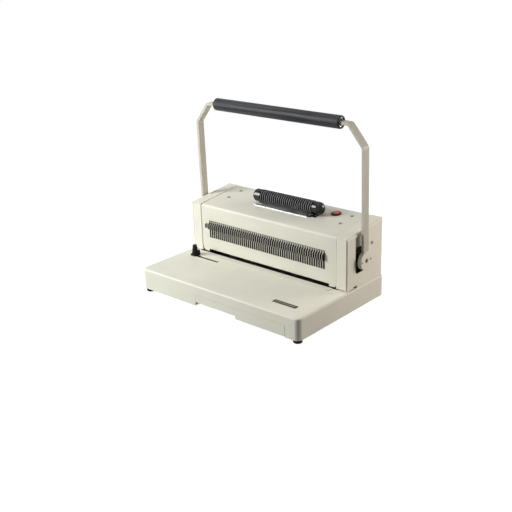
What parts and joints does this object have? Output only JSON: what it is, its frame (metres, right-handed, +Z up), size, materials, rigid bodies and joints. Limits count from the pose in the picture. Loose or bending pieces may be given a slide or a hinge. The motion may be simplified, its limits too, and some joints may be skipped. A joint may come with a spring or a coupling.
{
  "type": "coil binding machine",
  "caption": "Manual coil binding punch in cream painted steel, with pull-out pins, a long foam handle, a powered coil roller and a chip drawer.",
  "frame": {"origin": "middle of the bounding box on the standing surface, under the feet", "axes": "+X to the right as seen from the front, +Y from the front to the back, +Z up"},
  "size_m": [0.479, 0.305, 0.4201],
  "materials": {
    "cover_paint": "satin",
    "cap_paint": "satin",
    "panel_paint": "satin",
    "arm_paint": "satin",
    "hub_paint": "satin",
    "strip_paint": "satin",
    "label_blank": "matte",
    "black_rubber": "matte",
    "foam": "matte",
    "black_plastic": "satin",
    "red_plastic": "gloss",
    "zinc_steel": "satin",
    "tool_steel": "satin",
    "screw_steel": "satin",
    "frame_paint": "satin",
    "roller_gloss": "gloss",
    "bezel_gloss": "gloss",
    "tab_steel": "satin",
    "bright_steel": "polished",
    "bronze": "satin",
    "aluminium": "satin"
  },
  "bodies": {
    "machine": {"back_stop": "zinc_steel", "base_cover": "cover_paint", "base_plate": "zinc_steel", "button_bezel": "bezel_gloss", "chip_chute": "zinc_steel", "coil_guide_plate": "bright_steel", "comb_lug": "screw_steel", "cover_screws": "screw_steel", "cover_spacers": "zinc_steel", "die_block": "tool_steel", "drawer_runners": "zinc_steel", "end_cap_left": "cap_paint", "end_cap_right": "cap_paint", "frame_plates": "frame_paint", "front_posts": "cap_paint", "inlet_blades": "bronze", "label_plate": "label_blank", "pin_guide_block": "tool_steel", "power_inlet": "black_plastic", "power_supply": "black_plastic", "punch_cover": "panel_paint", "rear_cover": "cover_paint", "return_springs": "zinc_steel", "roller_end_left": "roller_gloss", "roller_end_right": "roller_gloss", "roller_motor": "zinc_steel", "roof_brackets": "zinc_steel", "rubber_feet": "black_rubber", "shaft_bushes": "bronze", "spring_rail": "zinc_steel", "table_strip": "strip_paint", "throat_ends": "tool_steel", "tie_rods": "zinc_steel"},
    "handle": {"handle_arm_right": "arm_paint", "handle_arm_left": "arm_paint", "handle_hubs": "hub_paint", "hub_bolts": "screw_steel", "hub_screws": "screw_steel", "cross_shaft": "tool_steel", "cams": "tool_steel", "grip_tube": "bright_steel", "grip_foam": "foam", "grip_pins": "zinc_steel"},
    "press": {"pressure_bar": "tool_steel", "bar_end_plates": "tool_steel", "punch_pins": "tool_steel", "pull_tabs": "tab_steel"},
    "end_tab_left": {"end_pull_tab_left": "tab_steel"},
    "end_tab_right": {"end_pull_tab_right": "tab_steel"},
    "drawer": {"drawer_front": "cover_paint", "drawer_tray": "zinc_steel"},
    "guide": {"edge_guide": "black_plastic", "guide_clamp": "black_plastic"},
    "knob": {"guide_knob": "black_plastic"},
    "roller": {"roller_sleeve": "black_rubber", "roller_core": "aluminium", "roller_drive_hub": "zinc_steel"},
    "button": {"button_cap": "red_plastic"}
  },
  "joints": [
    {"name": "handle_hinge", "type": "hinge", "parent": "machine", "child": "handle", "pos_m": [0, 0.0705, 0.115], "axis": [1, 0, 0], "range_deg": [0, 85], "stiffness_Nm_per_rad": 1.6, "springref_deg": -34.38},
    {"name": "press_slide", "type": "slide", "parent": "machine", "child": "press", "axis": [0, 0, -1], "range_m": [0, 0.01603], "deforming": ["return_springs"]},
    {"name": "end_tab_left_pull", "type": "slide", "parent": "press", "child": "end_tab_left", "axis": [0, -1, 0], "range_m": [0, 0.006]},
    {"name": "end_tab_right_pull", "type": "slide", "parent": "press", "child": "end_tab_right", "axis": [0, -1, 0], "range_m": [0, 0.006]},
    {"name": "drawer_slide", "type": "slide", "parent": "machine", "child": "drawer", "axis": [0, -1, 0], "range_m": [0, 0.16]},
    {"name": "guide_slide", "type": "slide", "parent": "machine", "child": "guide", "axis": [1, 0, 0], "range_m": [0, 0.07]},
    {"name": "knob_turn", "type": "hinge", "parent": "guide", "child": "knob", "pos_m": [-0.19, -0.0185, 0.0613], "axis": [0, 0, 1], "range_deg": [0, 180]},
    {"name": "roller_spin", "type": "hinge", "parent": "machine", "child": "roller", "pos_m": [0.0105, 0.0915, 0.19953], "axis": [1, 0, 0], "continuous": true},
    {"name": "button_press", "type": "slide", "parent": "machine", "child": "button", "axis": [0, 0.1132, -0.9936], "range_m": [0, 0.0025], "stiffness_N_per_m": 400, "springref_m": -0.001}
  ],
  "couplings": [
    {"joint": "press_slide", "follows": "handle_hinge", "m_per_rad": 0.0108}
  ]
}
